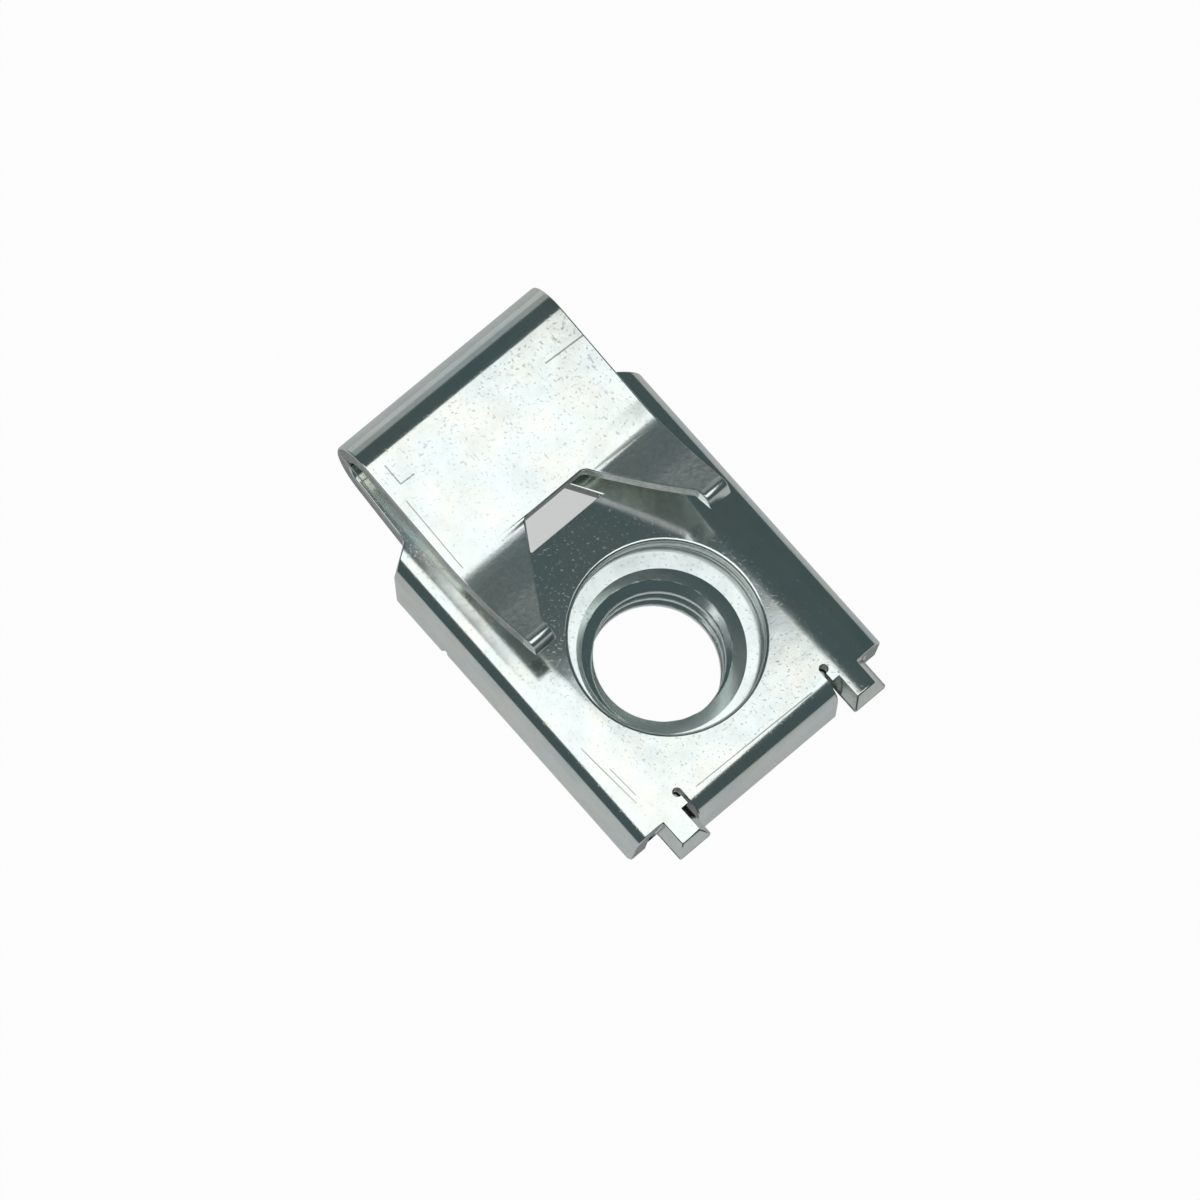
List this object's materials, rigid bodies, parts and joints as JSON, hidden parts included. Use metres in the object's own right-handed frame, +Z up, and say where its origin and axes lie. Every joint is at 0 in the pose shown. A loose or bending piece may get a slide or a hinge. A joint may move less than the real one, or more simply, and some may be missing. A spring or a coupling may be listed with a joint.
{
  "type": "door hinge nut",
  "caption": "Spring clip folded from one steel sheet, with a flared arm over a holed plate and a cage below it that holds a floating threaded nut.",
  "frame": {"origin": "on the axis of the plate's round hole, at the plate's top face", "axes": "+X from the U-bend towards the front of the cage, +Y across the cage, +Z up through the plate, towards the spring arm's side"},
  "size_m": [0.0264, 0.0164, 0.0109],
  "materials": {
    "zinc_sheet": "satin",
    "zinc_nut": "satin"
  },
  "bodies": {
    "root": {"spring_clip": "zinc_sheet", "floating_nut": "zinc_nut"}
  },
  "joints": []
}
